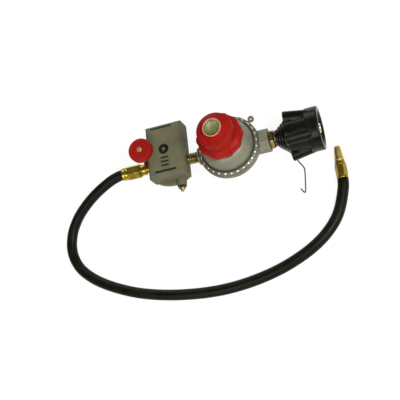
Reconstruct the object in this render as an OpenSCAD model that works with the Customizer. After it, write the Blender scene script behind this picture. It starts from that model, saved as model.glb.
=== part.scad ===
// Gas regulator with a shut-off timer box, a needle valve and a rubber hose.
// Every piece is drawn about the gas line: x = 0 is the regulator's axis, and y = z = 0 is the line itself.

/* [Coupling nut] */
// Distance from the regulator's axis to the nut's mouth
mouth_x = 110; // [106:0.5:114]
// Outer radius of the plain collar at the mouth
collar_r = 26; // [24.5:0.1:26.5]
// Distance from the nut's axis to the middle of a finger lobe, at the neck
lobe_ring = 24.1; // [23:0.1:24.1]
// Radius of a finger lobe
lobe_r = 7.2; // [6:0.1:7.2]
// How much closer to the axis a lobe runs at the collar
lobe_taper = 4.3; // [3:0.1:5]
// Number of finger lobes
lobe_count = 5; // [4:1:6]
// Radius of the screw thread's crests in the mouth
thread_r = 16.4; // [15.5:0.1:17]

/* [Regulator] */
// Height of the gas line above the surface that the part lies on
axis_h = 31.5; // [31.5:0.1:34]
// Radius of the body's flange
flange_r = 38; // [37.8:0.1:40]
// Number of staked dots around the flange
dot_count = 28; // [20:1:32]
// Radius of the ring of staked dots
dot_ring = 34.8; // [34.6:0.1:34.9]
// Width across the flats of the inlet boss
boss_af = 26; // [22:0.5:26]
// Radius of the hole in the eyelet
eyelet_r = 1.5; // [1:0.1:2]

/* [Adjusting cap] */
// Height of the cap's top above the gas line
cap_top = 72; // [71:0.5:76]
// Height of the skirt's lower edge above the gas line
cap_skirt_z = 39; // [38.5:0.5:41]
// Radius of the skirt between its lobes
cap_skirt_r = 26.5; // [26:0.1:28]
// Number of grip lobes
cap_lobes = 10; // [8:1:12]

/* [Timer box] */
// Width of the box along the gas line
box_w = 46.5; // [46:0.5:47]
// Length of the box across the gas line
box_l = 67.5; // [67:0.5:68]
// Height of the front face above the gas line
box_front = 20; // [20:0.5:22]
// Bevel around the front face
box_bevel = 2.6; // [1:0.1:3]
// Radius of the reset button
button_r = 6.2; // [5:0.1:6.6]

/* [Needle valve] */
// Radius of the small red knob
knob_r = 15; // [13:0.5:15.5]
// Height of the knob's face above the gas line
knob_face = 30; // [29:0.5:32]

/* [Hose] */
// Outer diameter of the hose
hose_d = 13.2; // [12:0.1:14]
// Width across the flats of the swivel nut
swivel_af = 16; // [15:0.1:17]
// Largest radius of the tapered end fitting
spud_r = 5.2; // [4.4:0.1:5.6]

/* [Hidden] */
$fn = 72;
cut = 0.01;
// Where the regulator's axis stands, so that the part without its hose is centred on the origin
reg_x = 16;
reg_y = 9;
floor_z = -axis_h;

// Finishes
black_plastic = "#1c1c12";
red_plastic = "#a42a22";
grey_cast = "#88826f";
grey_plastic = "#66654f";
brass = "#a08c4b";
steel = "#9a9a94";
zinc = "#7b8654";
rubber = "#1a1a18";
dark_red = "#962518";
board_green = "#2f5d3a";
copper = "#b0703a";

// Nut: stepped neck, lobed grip and collar along the gas line
neck_x = 57.2;
grip_x = 71;
collar_x = 95;
neck_steps = 4;
neck_small_r = 10;
neck_large_r = 18.3;
web_r = 22.5;
lobe_turn = 69;
shoulder_x = 73;
stem_r = 6.5;
run_gap = 0.05;
thread_depth = 1.2;
thread_pitch = 5.08;

// Brass nipple with a quarter inch pipe thread
pipe_r = 6.85;
thread_gap = 0.02;
nipple_hex_af = 20.5;
hex_x = 50;
groove_x = 54.2;
groove_r = 7.6;
nose_r = 6.3;
nipple_flange_x = 77;
nose_x = 80;
nose_land_x = 82.5;
seal_seat_r = 5.9;
nose_tip_x = 109;
check_bore_r = 4;
retainer_x = 104;
retainer_r = 4.4;
poppet_x = 92;

// Hanger wire: an open loop in the nipple's groove, then an arm under the nut that lies on the surface
wire_r = 0.75;
wire_sides_hook = 8;
loop_r = 8.6;
loop_x = 55.5;
loop_from = 226;
loop_to = -97;
wire_floor = floor_z + wire_r;
hook_arm = [[55.5, -3.2, -9.6], [55.6, -4.7, -11.8], [56.8, -5.8, -14.2], [60, -7.4, -18.4], [66, -11, -25.5],
    [69, -14.5, -30], [70.6, -17.5, wire_floor], [73.4, -23.4, wire_floor], [77.6, -30.5, wire_floor],
    [78.6, -34.5, wire_floor], [75.7, -60.2, wire_floor], [74.7, -62.7, wire_floor],
    [73.3, -61.4, wire_floor], [70.6, -57, wire_floor]];

// Regulator: body, diaphragm and bonnet stacked on the vertical axis
body_top = 8;
diaphragm_t = 1.2;
bonnet_z = body_top + diaphragm_t;
bonnet_flange_top = 13;
boss_end = 48.5;
outlet_end = -40;
chamber_r = 24;
foot_r = 14;
boss_start = 27.5;
chamber_floor = -14;
lever_x = 10;
lever_z = -8;
lever_pin_r = 1.2;
lever_w = 6;
guide_x = 13.5;
seat_r = 3.5;
eyelet_turn = 44;
eyelet_reach = 42.5;
eyelet_h = 3;
eyelet_z = 4.2;
spring_seat_z = 31;
screw_r = 8.6;
screw_top = 70.5;
bonnet_neck_top = 47;
spring_room_top = 38.5;

// Timer box
box_x0 = -100.5;
box_x1 = box_x0 + box_w;
box_y0 = -22;
box_y1 = box_y0 + box_l;
box_back = -3;
box_wall = 2;
plate_t = 2;
button_pos = [-78, 12.5];
board_z = 9.6;
board_t = 1.6;
screw_spots = [[-81, -17.5], [-93, 41], [-61, 41]];
lug_pos = [-78.4, 11.2];
screw_shank_r = 1.4;
coil_pos = [-80, 2];
battery_r = 8.4;
battery_y = 25;
battery_z = -6.5;
battery_x0 = -95.5;
battery_x1 = -62.5;
plug_x = -67.8;
plug_z = -5;
block_half = 9;
tube_r = 4;
lug_r = 37.6;
lug_low = -9;

// Needle valve, whose stem stands beside the gas line
valve_pos = [-106, 15];
valve_stem_r = 2.9;
valve_end = -126;
knob_under = 21;

// Swivel nut and ferrule at the hose's near end
swivel_x0 = -134;
swivel_x1 = -118;
ferrule_x0 = -142;
ferrule_r = 8.1;

// Hose: centre line in the part's own frame, from the near ferrule to the end fitting
hose_r = hose_d / 2;
hose_sides = 12;
hose_low = hose_r;
hose_route = [[-126, 9, axis_h], [-137, 7.8, axis_h], [-148, 4.5, 31], [-168, -5, 27.5], [-187, -15.8, 21.5],
    [-204, -29, 14], [-214.6, -47.8, 9], [-216, -70, 7], [-207.5, -90.6, hose_low], [-191.5, -107, hose_low],
    [-172.5, -119.3, hose_low], [-152, -129, hose_low], [-131, -136.5, hose_low], [-109, -142.2, hose_low],
    [-86.5, -146.7, hose_low], [-64, -149.8, hose_low], [-41.5, -151.3, hose_low], [-19, -151, hose_low],
    [3.5, -149, hose_low], [26, -145.2, hose_low], [48, -139.5, hose_low], [69, -131.5, hose_low],
    [89.3, -121, hose_low], [107.5, -107.7, hose_low], [122.8, -91, hose_low], [133, -70.8, hose_low],
    [137, -49, hose_low]];
end_pos = hose_route[len(hose_route) - 1];

// Moves a piece from gas line coordinates into the part's frame
module at_gas() { translate([reg_x, reg_y, axis_h]) children(); }

// Turns a piece drawn along +Z so that it runs along +X or +Y
module along_x() { rotate([0, 90, 0]) children(); }
module along_y() { rotate([-90, 0, 0]) children(); }

// Round bars on the gas line, between two stations
module bar(r, x0, x1) { translate([x0, 0, 0]) along_x() cylinder(r = r, h = x1 - x0); }
module cone_bar(r0, r1, x0, x1) { translate([x0, 0, 0]) along_x() cylinder(r1 = r0, r2 = r1, h = x1 - x0); }
module hole(r, x0, x1) { bar(r, x0 - cut, x1 + cut); }
module hex_bar(af, x0, x1) {
    translate([x0, 0, 0]) along_x() rotate(30) cylinder(r = af / 2 / cos(30), h = x1 - x0, $fn = 6);
}

// Upright round posts between two heights
module post(r, z0, z1) { translate([0, 0, z0]) cylinder(r = r, h = z1 - z0); }
module well(r, z0, z1) { post(r, z0 - cut, z1 + cut); }
module block(x0, x1, y0, y1, z0, z1) { translate([x0, y0, z0]) cube([x1 - x0, y1 - y0, z1 - z0]); }
module ring(r_out, r_in, z0, z1) {
    difference() {
        post(r_out, z0, z1);
        well(r_in, z0, z1);
    }
}

// Tube of triangles through rings of points, with flat ends
function ring_at(p, u, v, r, sides) =
    [for (k = [0 : sides - 1]) p + r * (cos(360 * k / sides) * u + sin(360 * k / sides) * v)];
function wall(i, k, s) = [[i * s + k, i * s + (k + 1) % s, (i + 1) * s + k],
    [i * s + (k + 1) % s, (i + 1) * s + (k + 1) % s, (i + 1) * s + k]];
module tube_mesh(rings, sides) {
    last = (len(rings) - 1) * sides;
    walls = [for (i = [0 : len(rings) - 2]) for (k = [0 : sides - 1]) for (t = wall(i, k, sides)) t];
    near_end = [for (k = [1 : sides - 2]) [0, k + 1, k]];
    far_end = [for (k = [1 : sides - 2]) [last, last + k, last + k + 1]];
    polyhedron([for (q = rings) for (p = q) p], concat(walls, near_end, far_end));
}

// Helical spring about +Z from z = 0: one unbroken tube, whose least gap between turns is printed
curl_rings = 8;
wire_sides = 6;
function coil_point(r, rise, i) =
    let (a = 360 * i / curl_rings) [r * cos(a), r * sin(a), rise * i / curl_rings];
function coil_out(i) = let (a = 360 * i / curl_rings) [cos(a), sin(a), 0];
module spring(r, wire_radius, length, turns, label) {
    rise = (length - 2 * wire_radius) / turns;
    steps = round(turns * curl_rings);
    pts = [for (i = [0 : steps]) coil_point(r, rise, i) + [0, 0, wire_radius]];
    least = min([for (i = [0 : steps - curl_rings])
        for (j = [i + curl_rings - 1 : min(steps, i + curl_rings + 1)]) norm(pts[i] - pts[j])])
        - 2 * wire_radius;
    echo(label, gap = least);
    tube_mesh([for (i = [0 : steps]) ring_at(pts[i], coil_out(i), [0, 0, 1], wire_radius, wire_sides)],
        wire_sides);
}

// Coupling to the gas bottle

// Half outline of the nut along its axis: stepped neck, grip, collar, ring threads and flared mouth
module nut_profile() {
    step_x = (grip_x - neck_x) / neck_steps;
    step_r = (neck_large_r - neck_small_r) / (neck_steps - 1);
    neck_groove = 0.8;
    edge = 0.8;
    flare_r = 20.5;
    flare_x = mouth_x - 5;
    difference() {
        union() {
            for (i = [0 : neck_steps - 1]) translate([0, neck_x + i * step_x])
                square([neck_small_r + i * step_r, step_x - neck_groove]);
            polygon([[0, neck_x], [neck_small_r - 1, neck_x], [neck_large_r - 1, grip_x + 1],
                [0, grip_x + 1]]);
            polygon([[0, grip_x], [web_r - edge, grip_x], [web_r, grip_x + edge], [web_r, collar_x + 1],
                [0, collar_x + 1]]);
            polygon([[0, collar_x], [collar_r - edge, collar_x], [collar_r, collar_x + edge],
                [collar_r, mouth_x - edge], [collar_r - edge, mouth_x], [0, mouth_x]]);
        }
        translate([-1, neck_x - 1]) square([1 + stem_r + run_gap, shoulder_x - neck_x + 2]);
        translate([-1, shoulder_x]) square([1 + thread_r, flare_x - shoulder_x + 1]);
        for (x = [nose_x + 4 : thread_pitch : flare_x - thread_pitch / 2])
            translate([-1, x]) square([1 + thread_r + thread_depth, thread_pitch / 2]);
        polygon([[-1, flare_x], [thread_r, flare_x], [flare_r, mouth_x], [flare_r, mouth_x + 1],
            [-1, mouth_x + 1]]);
    }
}

module coupling_nut() {
    lean = atan(lobe_taper / (collar_x - grip_x));
    clear_r = lobe_ring + 2 * lobe_r;
    color(black_plastic) at_gas() union() {
        along_x() rotate_extrude() nut_profile();
        difference() {
            for (k = [0 : lobe_count - 1])
                translate([grip_x, 0, 0]) along_x() rotate(lobe_turn + 360 * k / lobe_count)
                    translate([lobe_ring, 0, 0]) rotate([0, -lean, 0])
                        post(lobe_r, -2, collar_x - grip_x + 3);
            hole(web_r - 2, grip_x - 5, collar_x + 10);
            hole(clear_r, grip_x - 6, grip_x + 0.3);
            hole(clear_r, collar_x + 0.3, collar_x + 10);
        }
    }
}

module inlet_nipple() {
    tip_bevel = 2;
    color(brass) at_gas() difference() {
        union() {
            bar(pipe_r, 38, hex_x + 1);
            hex_bar(nipple_hex_af, hex_x, groove_x);
            bar(groove_r, groove_x - 1, neck_x - 0.4);
            bar(stem_r, groove_x, nipple_flange_x + 1);
            bar(10, nipple_flange_x, nose_x);
            bar(seal_seat_r, nose_x - 1, nose_land_x + 1);
            bar(nose_r, nose_land_x, nose_tip_x - tip_bevel);
            cone_bar(nose_r, nose_r - 1, nose_tip_x - tip_bevel, nose_tip_x);
        }
        hole(3, 38, nose_x);
        hole(check_bore_r, nose_x, retainer_x);
        hole(retainer_r, retainer_x, nose_tip_x);
    }
}

module thermal_bushing() {
    color(rubber) at_gas() difference() {
        bar(14, shoulder_x + 0.2, nipple_flange_x);
        hole(stem_r + thread_gap, shoulder_x, nipple_flange_x);
    }
}

module nose_seal() {
    color(rubber) at_gas() difference() {
        bar(9.4, nose_x, nose_land_x - 0.2);
        hole(seal_seat_r + thread_gap, nose_x, nose_land_x - 0.2);
    }
}

module flow_poppet() {
    flute_r = 1;
    poppet_r = check_bore_r - run_gap;
    color(brass) at_gas() difference() {
        union() {
            bar(poppet_r, poppet_x, retainer_x - 0.2);
            bar(1.6, retainer_x - 0.2, nose_tip_x - 1.5);
        }
        for (k = [0 : 2]) rotate([120 * k, 0, 0]) translate([0, 0, poppet_r])
            hole(flute_r, poppet_x, retainer_x);
    }
}

module flow_spring() {
    color(steel) at_gas() translate([nose_x + 0.2, 0, 0]) along_x()
        spring(2.9, 0.4, poppet_x - nose_x - 0.4, 5, "flow_spring");
}

module poppet_retainer() {
    color(brass) at_gas() difference() {
        bar(retainer_r, retainer_x, nose_tip_x - 1);
        hole(2.4, retainer_x, nose_tip_x - 1);
    }
}

module wire_hook() {
    loop = [for (a = [loop_from : -19 : loop_to]) [loop_x, loop_r * cos(a), loop_r * sin(a)]];
    route = concat(loop, hook_arm);
    way = [for (i = [0 : len(route) - 1])
        let (d = route[min(i + 1, len(route) - 1)] - route[max(i - 1, 0)]) d / norm(d)];
    rings = [for (i = [0 : len(route) - 1])
        let (c = cross([1, 0.2, 0.3], way[i]), u = c / norm(c))
        ring_at(route[i], u, cross(way[i], u), wire_r, wire_sides_hook)];
    color(steel) at_gas() tube_mesh(rings, wire_sides_hook);
}

// Regulator

// Half outline of the lower casting around its chamber: bowl and flange
module body_profile() {
    polygon([[12, -22.9], [22, -21.5], [27, -17], [30, -9], [32, -1], [33, 2], [flange_r - 1.6, 2],
        [flange_r, 3.6], [flange_r, body_top - 0.8], [flange_r - 0.8, body_top], [28, body_top], [28, 4],
        [chamber_r, 4], [chamber_r, chamber_floor], [12, chamber_floor]]);
}

module regulator_body() {
    pillar_y = lever_w / 2 + 0.3;
    pillar_t = 3.2;
    guide_t = 3;
    color(grey_cast) at_gas() {
        difference() {
            union() {
                rotate_extrude() body_profile();
                post(foot_r, floor_z, chamber_floor - 0.5);
                difference() {
                    union() {
                        translate([boss_start, 0, 0]) along_x() rotate(22.5)
                            cylinder(r = boss_af / 2 / cos(22.5), h = boss_end - boss_start, $fn = 8);
                        bar(10.5, outlet_end, -boss_start);
                    }
                    post(flange_r + 0.3, body_top - 0.4, body_top + 10);
                }
                rotate(eyelet_turn) translate([eyelet_reach, 0, 0]) post(3.7, eyelet_z, eyelet_z + eyelet_h);
                rotate(eyelet_turn)
                    block(flange_r - 2, eyelet_reach - 1, -1.6, 1.6, eyelet_z, eyelet_z + eyelet_h);
            }
            hole(pipe_r + thread_gap, 36, boss_end);
            hole(5, 20, 37);
            hole(pipe_r + thread_gap, outlet_end, -30);
            hole(4, -31, -20);
            rotate(eyelet_turn) translate([eyelet_reach, 0, 0]) well(eyelet_r, eyelet_z, eyelet_z + eyelet_h);
        }
        difference() {
            union() {
                block(guide_x, guide_x + guide_t, -6.5, 6.5, chamber_floor - 2, 5);
                for (side = [-1, 1]) translate([0, side * (pillar_y + pillar_t / 2), 0])
                    block(7, guide_x + 1, -pillar_t / 2, pillar_t / 2, chamber_floor - 2, -5.5);
            }
            hole(seat_r + run_gap, guide_x, guide_x + guide_t);
            translate([lever_x, 0, lever_z]) along_y() post(lever_pin_r, -10, 10);
        }
    }
}

// Half outline of the domed upper casting, open below for the spring
module bonnet_profile() {
    difference() {
        union() {
            polygon([[0, bonnet_z], [37.6, bonnet_z], [37.6, 12.2], [36.9, bonnet_flange_top],
                [0, bonnet_flange_top]]);
            polygon([[0, bonnet_flange_top], [32.6, bonnet_flange_top], [31.6, 15.5], [30.4, 24.5],
                [0, 24.5]]);
            translate([20.5, 24.5]) circle(r = 9.9);
            polygon([[0, 24], [20.5, 24], [20.5, 34], [19.6, 35], [19.6, 42], [14, 42.5],
                [14, bonnet_neck_top - 1], [13, bonnet_neck_top], [0, bonnet_neck_top]]);
        }
        polygon([[-1, bonnet_z - 1], [26.5, bonnet_z - 1], [26.5, 23], [17, 30], [17, spring_room_top],
            [-1, spring_room_top]]);
        translate([-1, spring_room_top - 1]) square([1 + screw_r + run_gap, bonnet_neck_top]);
    }
}

module bonnet() { color(grey_cast) at_gas() rotate_extrude() bonnet_profile(); }

module flange_rivets() {
    dot_r = 1.9;
    dot_h = 0.9;
    color(steel) at_gas() for (k = [0 : dot_count - 1])
        rotate(360 * k / dot_count) translate([dot_ring, 0, bonnet_flange_top])
            cylinder(r1 = dot_r, r2 = dot_r - 0.5, h = dot_h, $fn = 20);
}

module diaphragm() { color(rubber) at_gas() ring(37.2, 3.1, body_top, bonnet_z); }

module diaphragm_plate() {
    fork_x = 2.5;
    fork_y = 5;
    slot_half = 1.7;
    color(steel) at_gas() {
        post(20, bonnet_z + 0.1, bonnet_z + 2.1);
        post(3, -5, bonnet_z + 1);
        post(9, body_top - 2.1, body_top - 0.1);
        difference() {
            block(-fork_x, fork_x, -fork_y, fork_y, -12, -4.5);
            block(-fork_x - cut, fork_x + cut, -lever_w / 2 - 0.4, lever_w / 2 + 0.4,
                lever_z - slot_half, lever_z + slot_half);
        }
    }
}

module main_spring() {
    spring_foot = bonnet_z + 2.2;
    color(steel) at_gas() translate([0, 0, spring_foot])
        spring(12, 1.2, spring_seat_z - spring_foot - 0.1, 4, "main_spring");
}

module spring_button() {
    color(steel) at_gas() {
        post(14, spring_seat_z, spring_seat_z + 2.6);
        post(5, spring_seat_z + 2.5, spring_seat_z + 2.9);
    }
}

// Half outline of the bell: skirt, stepped dome and top boss
module cap_profile() {
    shoulder_z = cap_skirt_z + 10;
    drum_r = 21.2;
    drum_edge = 5;
    drum_top = cap_top - 5;
    wall_t = 2.4;
    difference() {
        union() {
            polygon([[0, cap_skirt_z], [cap_skirt_r, cap_skirt_z], [cap_skirt_r, shoulder_z - 2],
                [cap_skirt_r - 2, shoulder_z], [0, shoulder_z]]);
            polygon([[0, shoulder_z - 1], [drum_r + 1.3, shoulder_z - 1], [drum_r, shoulder_z + 3],
                [drum_r, drum_top - drum_edge], [0, drum_top - drum_edge]]);
            translate([drum_r - drum_edge, drum_top - drum_edge]) circle(r = drum_edge);
            polygon([[0, drum_top - drum_edge - 1], [drum_r - drum_edge, drum_top - drum_edge - 1],
                [drum_r - drum_edge, drum_top], [12.6, drum_top + 0.4], [12, cap_top - 1], [11, cap_top],
                [0, cap_top]]);
        }
        polygon([[-1, cap_skirt_z - 1], [cap_skirt_r - 2.5, cap_skirt_z - 1], [cap_skirt_r - 2.5, 46],
            [drum_r - wall_t, 49], [drum_r - wall_t, drum_top - 6], [drum_r - 6, drum_top - wall_t],
            [-1, drum_top - wall_t]]);
        translate([-1, 50]) square([1 + screw_r + run_gap, cap_top]);
    }
}

module adjusting_cap() {
    grip_r = 4.2;
    grip_ring = 23.5;
    color(red_plastic) at_gas() {
        rotate_extrude() cap_profile();
        for (k = [0 : cap_lobes - 1]) rotate(360 * k / cap_lobes) difference() {
            translate([grip_ring, 0, 0]) post(grip_r, cap_skirt_z + 0.3, cap_skirt_z + 8.6);
            well(cap_skirt_r - 1.8, cap_skirt_z - 1, cap_skirt_z + 10);
        }
    }
}

module adjusting_screw() {
    color(zinc) at_gas() difference() {
        union() {
            post(screw_r, spring_seat_z + 3, 56);
            post(screw_r + run_gap - thread_gap, 55, screw_top);
        }
        translate([0, 0, screw_top - 2]) cylinder(r1 = 3, r2 = 7.6, h = 2 + cut);
    }
}

module valve_lever() {
    color(steel) at_gas() difference() {
        union() {
            block(-2.4, lever_x + 1, -lever_w / 2, lever_w / 2, lever_z - 1, lever_z + 1);
            block(lever_x - 1, lever_x + 1, -lever_w / 2, lever_w / 2, lever_z - 1, 1.5);
            translate([lever_x, 0, lever_z]) along_y() post(2.4, -lever_w / 2, lever_w / 2);
        }
        translate([lever_x, 0, lever_z]) along_y() well(lever_pin_r + run_gap, -lever_w / 2, lever_w / 2);
    }
}

module lever_pin() {
    color(steel) at_gas() translate([lever_x, 0, lever_z]) along_y() post(lever_pin_r, -6.5, 6.5);
}

module seat_carrier() { color(brass) at_gas() bar(seat_r, 11.6, 17.2); }

module seat_pad() { color(rubber) at_gas() bar(3, 17.2, 18.7); }

module inlet_orifice() {
    color(brass) at_gas() difference() {
        union() {
            bar(5, 22, 36);
            bar(2.6, 20.5, 22);
        }
        hole(1.4, 20.5, 36);
    }
}

module outlet_nipple() {
    color(brass) at_gas() difference() {
        bar(pipe_r, -70, -30);
        hole(4, -70, -30);
    }
}

// Timer box

// Box with a bevelled front, square at the back
module cover_block() {
    b = box_bevel;
    intersection() {
        translate([0, box_y1 + 1, 0]) rotate([90, 0, 0]) linear_extrude(box_l + 2)
            polygon([[box_x0, box_back], [box_x1, box_back], [box_x1, box_front - b], [box_x1 - b, box_front],
                [box_x0 + b, box_front], [box_x0, box_front - b]]);
        translate([box_x0 - 1, 0, 0]) rotate([90, 0, 90]) linear_extrude(box_w + 2)
            polygon([[box_y0, box_back], [box_y1, box_back], [box_y1, box_front - b], [box_y1 - b, box_front],
                [box_y0 + b, box_front], [box_y0, box_front - b]]);
    }
}

module timer_cover() {
    mark_depth = 0.5;
    color(grey_plastic) at_gas() difference() {
        union() {
            difference() {
                cover_block();
                block(box_x0 + box_wall, box_x1 - box_wall, box_y0 + box_wall, box_y1 - box_wall,
                    box_back - 1, box_front - box_wall - 0.6);
            }
            for (s = screw_spots) translate([s[0], s[1], 0]) post(3.4, box_back, board_z);
        }
        for (s = screw_spots) translate([s[0], s[1], 0]) well(screw_shank_r, box_back, 7);
        translate([button_pos[0], button_pos[1], 0]) post(button_r + 0.1, box_front - 5, box_front + 1);
        hole(pipe_r + 0.3, box_x1 - 4, box_x1 + 1);
        block(box_x1 - 4, box_x1 + 1, -pipe_r - 0.3, pipe_r + 0.3, box_back - 1, 0);
        hole(5.3, box_x0 - 1, box_x0 + 4);
        block(box_x0 - 1, box_x0 + 4, -5.3, 5.3, box_back - 1, 0);
        translate([plug_x, box_y0 - 1, plug_z]) along_y() post(3.7, 0, 4);
        for (k = [0 : 2]) translate([button_pos[0], 1.5 - 5 * k, box_front])
            cube([10, 2.2, 2 * mark_depth], center = true);
        translate([button_pos[0], -15.5, box_front]) cube([27, 2.6, 2 * mark_depth], center = true);
    }
}

module rear_housing() {
    pod_x0 = box_x0 + 0.5;
    pod_x1 = -59.5;
    bay_y0 = battery_y - 11;
    bay_y1 = battery_y + 11;
    bay_z = -17.5;
    pod_wall = 1.5;
    can_r = 13.5;
    plate_low = box_back - plate_t;
    color(grey_plastic) at_gas() difference() {
        union() {
            block(box_x0 + 0.5, box_x1 - 0.5, box_y0 + 0.5, box_y1 - 0.5, plate_low, box_back);
            block(pod_x0, pod_x1, -11, 13, -11, box_back);
            translate([coil_pos[0], coil_pos[1], 0]) post(can_r, floor_z, -10);
            block(pod_x0, pod_x1 - 1, bay_y0, bay_y1, bay_z, box_back);
            intersection() {
                translate([lug_pos[0], lug_pos[1], 0]) post(lug_r, lug_low, box_back);
                block(box_x0 + 0.7, -57, -30, -10, lug_low - 1, box_back + 1);
            }
        }
        block(pod_x0 + pod_wall, pod_x1 - pod_wall, -9.2, 9.2, -9.5, box_back + 1);
        translate([coil_pos[0], coil_pos[1], 0]) post(can_r - pod_wall, floor_z + pod_wall, box_back + 1);
        block(-96, -62, bay_y0 + pod_wall, bay_y1 - pod_wall, bay_z + 1.7, box_back + 1);
        block(-95.1, -62.9, bay_y0 + 2.4, bay_y1 - 2.4, bay_z - 1, bay_z + 2);
        hole(pipe_r + 0.3, pod_x1 - 3, box_x1 + 1);
        hole(5.3, box_x0 - 1, pod_x0 + 3);
        translate([plug_x, box_y0 - 8, plug_z]) along_y() post(3.7, 0, 24);
        for (s = screw_spots) translate([s[0], s[1], 0]) well(screw_shank_r, -12, box_back);
        translate([screw_spots[0][0], screw_spots[0][1], 0]) post(2.8, -12, -6.5);
    }
}

module cover_screws() {
    head_r = 2.6;
    head_h = 1.5;
    for (i = [0 : len(screw_spots) - 1]) {
        seat_z = i == 0 ? -6.5 : box_back - plate_t;
        color(steel) at_gas() translate([screw_spots[i][0], screw_spots[i][1], 0]) {
            post(screw_shank_r, seat_z, 6);
            post(head_r, seat_z - head_h, seat_z);
        }
    }
}

module battery_door() {
    color(grey_plastic) at_gas() block(-95, -63, battery_y - 8.5, battery_y + 8.5, -17.5, -15.6);
}

module reset_button() {
    under = box_front - box_wall - 0.6;
    color(black_plastic) at_gas() translate([button_pos[0], button_pos[1], 0]) difference() {
        union() {
            post(button_r, under - 1.6, box_front + 0.6);
            translate([0, 0, box_front + 0.6]) cylinder(r1 = button_r, r2 = button_r - 0.6, h = 0.6);
            post(button_r + 1.2, under - 1.6, under - 0.2);
            post(2, under - 2.8, under - 1.5);
        }
        translate([0, 0, box_front + 0.5]) cylinder(r1 = 1.2, r2 = 2.2, h = 0.7 + cut);
    }
}

module button_spring() {
    low = board_z + board_t;
    high = box_front - box_wall - 0.6 - 1.6;
    color(steel) at_gas() translate([button_pos[0], button_pos[1], low + 0.1])
        spring(4.4, 0.35, high - low - 0.2, 3, "button_spring");
}

module circuit_board() {
    color(board_green) at_gas() difference() {
        block(box_x0 + box_wall, box_x1 - box_wall, box_y0 + box_wall, box_y1 - box_wall,
            board_z, board_z + board_t);
        for (s = [[-93, -17], [-61, -17]]) translate([s[0], s[1], 0]) well(1.6, board_z, board_z + board_t);
    }
}

module push_switch() {
    half = 2.7;
    top = board_z + board_t;
    color(steel) at_gas() translate([button_pos[0], button_pos[1], 0]) {
        block(-half, half, -half, half, top, top + 1.4);
        post(1.6, top + 1.4, top + 1.9);
    }
}

module buzzer() { color(black_plastic) at_gas() translate([-78, 31, 0]) ring(6, 1, board_z + board_t, 16.8); }

module battery() {
    color(steel) at_gas() translate([0, battery_y, battery_z]) {
        bar(battery_r, battery_x0 + 1, battery_x1);
        bar(2.8, battery_x0, battery_x0 + 1);
    }
}

module battery_contacts() {
    leaf = 0.4;
    color(brass) at_gas() {
        block(-96, -96 + leaf, battery_y - 5, battery_y + 5, -13, 0);
        block(-62 - leaf, -62, battery_y - 5, battery_y + 5, -13, 0);
    }
}

module valve_block() {
    h = block_half;
    color(brass) at_gas() difference() {
        block(-96, -61.2, -h, h, -h, h);
        hole(pipe_r + thread_gap, -70, -61.2);
        hole(5 + thread_gap, -96, -90);
        hole(3, -77, -69);
        hole(3, -91, -80);
        translate([coil_pos[0], coil_pos[1], 0]) {
            well(6, -h, -4);
            well(2, -4, 0);
        }
        translate([-76, coil_pos[1], 0]) well(1.5, -5, 0);
        translate([plug_x, -h - cut, plug_z]) along_y() post(3.4, 0, 1.7);
    }
}

module plunger_tube() {
    tube_wall = 0.7;
    color(brass) at_gas() translate([coil_pos[0], coil_pos[1], 0]) difference() {
        union() {
            post(tube_r + tube_wall, floor_z + 1.5, -block_half);
            post(8, -block_half - 1, -block_half);
        }
        post(tube_r, floor_z + 2.5, -block_half + 1);
    }
}

module coil_bobbin() {
    color("#d8d2bd") at_gas() translate([coil_pos[0], coil_pos[1], 0]) difference() {
        union() {
            post(5.7, -25, -10.5);
            post(11, -25, -23.8);
            post(11, -11.7, -10.5);
        }
        well(4.75, -25, -10.5);
    }
}

module coil_winding() {
    color(copper) at_gas() translate([coil_pos[0], coil_pos[1], 0]) ring(10.4, 5.75, -23.7, -11.8);
}

module plunger() {
    color(steel) at_gas() translate([coil_pos[0], coil_pos[1], 0]) post(tube_r - run_gap, -20, -6.2);
}

module plunger_seal() {
    color(rubber) at_gas() translate([coil_pos[0], coil_pos[1], 0]) post(3.6, -6.2, -4.3);
}

module plunger_spring() {
    low = floor_z + 2.5;
    color(steel) at_gas() translate([coil_pos[0], coil_pos[1], low + 0.1])
        spring(2.8, 0.35, -20 - low - 0.2, 3, "plunger_spring");
}

module test_plug() {
    hex_y = -26;
    color(steel) at_gas() translate([plug_x, 0, plug_z]) {
        along_y() post(3.4, hex_y, -block_half + 1.6);
        along_y() translate([0, 0, hex_y - 7]) cylinder(r = 4.5 / cos(30), h = 7, $fn = 6);
        along_y() translate([0, 0, hex_y - 11]) cylinder(r1 = 1.8, r2 = 3.4, h = 4);
    }
}

// Needle valve

module needle_valve_body() {
    color(brass) at_gas() difference() {
        union() {
            bar(5, -113, -90);
            bar(6, valve_end, -113);
            bar(6.8, swivel_x1 + 0.5, -110.5);
            block(-111, -101, 0, valve_pos[1], -5.5, 5.5);
            translate([valve_pos[0], valve_pos[1], 0]) post(5.1, -8, 12);
        }
        hole(2.5, -103, -90);
        hole(2.5, valve_end, -104.6);
        translate([-102.7, 0, 2.2]) along_y() post(1.1, 0, valve_pos[1]);
        translate([valve_pos[0], 0, -1.8]) along_y() post(1.1, 0, valve_pos[1]);
        translate([valve_pos[0], valve_pos[1], 0]) {
            well(1.3, -3, 1);
            well(3.6, 1, 6);
            well(valve_stem_r + run_gap, 6, 12);
        }
    }
}

module packing_nut() {
    color(brass) at_gas() translate([valve_pos[0], valve_pos[1], 0]) difference() {
        translate([0, 0, 12]) rotate(30) cylinder(r = 4.8 / cos(30), h = 4.6, $fn = 6);
        well(valve_stem_r + run_gap, 12, 16.6);
    }
}

module needle_tip() {
    color(steel) at_gas() translate([valve_pos[0], valve_pos[1], 0]) {
        translate([0, 0, -0.5]) cylinder(r1 = 0.65, r2 = 2.4, h = 4.5);
        post(2.4, 4, 5.9);
    }
}

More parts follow.
